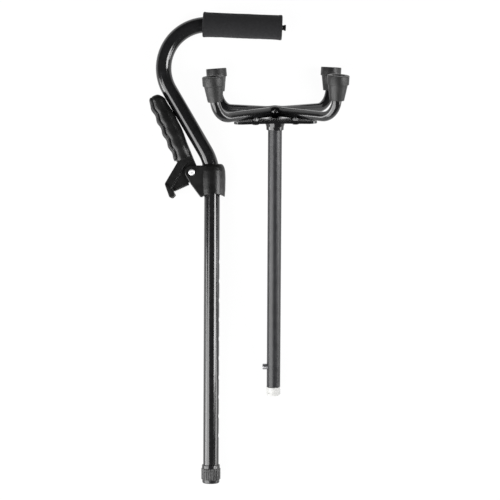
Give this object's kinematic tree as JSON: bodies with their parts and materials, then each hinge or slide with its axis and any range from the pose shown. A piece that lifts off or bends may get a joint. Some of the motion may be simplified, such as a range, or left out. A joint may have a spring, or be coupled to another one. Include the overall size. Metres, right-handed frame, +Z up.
{
  "type": "four-footed walking cane",
  "caption": "Height-adjustable four-footed cane with a foam offset handle and a folding stand-assist grip, taken apart into two halves that lie side by side.",
  "frame": {"origin": "middle of the object's box on the floor that the two halves lie on", "axes": "+X from the upper half towards the lower half, +Y towards the crook and the feet, +Z up from the floor"},
  "size_m": [0.27, 0.6612, 0.1908],
  "materials": {
    "gloss_black_tube": "gloss",
    "satin_black_tube": "satin",
    "gloss_black_steel": "gloss",
    "black_fastener": "satin",
    "black_foam": "matte",
    "black_nylon": "satin",
    "grey_black_nylon": "satin",
    "grip_rubber": "satin",
    "foot_rubber": "matte",
    "zinc_steel": "polished",
    "white_nylon": "satin"
  },
  "bodies": {
    "upper_half": {"handle_tube": "gloss_black_tube", "foam_grip": "black_foam", "grip_end_plug": "black_nylon", "pivot_bracket": "black_nylon", "bracket_screw": "zinc_steel", "pivot_pin": "zinc_steel", "pivot_washer_front": "white_nylon", "pivot_washer_rear": "white_nylon", "collet": "black_nylon"},
    "assist_handle": {"assist_handle": "black_nylon", "finger_grip": "grip_rubber", "jaw_pad": "grip_rubber"},
    "lock_nut": {"lock_nut": "grey_black_nylon"},
    "lower_half": {"inner_tube": "satin_black_tube", "end_bush": "white_nylon", "snap_spring": "zinc_steel", "base_collar": "gloss_black_steel", "tube_flange": "gloss_black_steel", "leg_plate": "gloss_black_steel", "leg_tube_front": "gloss_black_steel", "leg_tube_rear": "gloss_black_steel", "plate_bolt_1": "black_fastener", "plate_nut_1": "black_fastener", "plate_bolt_2": "black_fastener", "plate_nut_2": "black_fastener", "plate_bolt_3": "black_fastener", "plate_nut_3": "black_fastener", "plate_bolt_4": "black_fastener", "plate_nut_4": "black_fastener", "foot_tip_front_left": "foot_rubber", "tip_disc_front_left": "zinc_steel", "foot_tip_front_right": "foot_rubber", "tip_disc_front_right": "zinc_steel", "foot_tip_rear_left": "foot_rubber", "tip_disc_rear_left": "zinc_steel", "foot_tip_rear_right": "foot_rubber", "tip_disc_rear_right": "zinc_steel"},
    "snap_button": {"snap_button": "zinc_steel"}
  },
  "joints": [
    {"name": "assist_handle_fold", "type": "hinge", "parent": "upper_half", "child": "assist_handle", "pos_m": [-0.07469, 0.10528, 0.01619], "axis": [0, -0.0064, 1], "range_deg": [0, 65.4]},
    {"name": "lock_nut_turn", "type": "hinge", "parent": "upper_half", "child": "lock_nut", "pos_m": [-0.04844, -0.31753, 0.01347], "axis": [0.0044, 1, 0.0064], "range_deg": [0, 270]},
    {"name": "lower_half_turn", "type": "hinge", "parent": "upper_half", "child": "lower_half", "pos_m": [-0.00451, -0.27308, 0], "axis": [0, 0, -1], "range_deg": [0, 180]},
    {"name": "snap_button_press", "type": "slide", "parent": "lower_half", "child": "snap_button", "axis": [1, -0.0028, 0], "range_m": [0, 0.006], "stiffness_N_per_m": 400, "deforming": ["snap_spring"]}
  ]
}
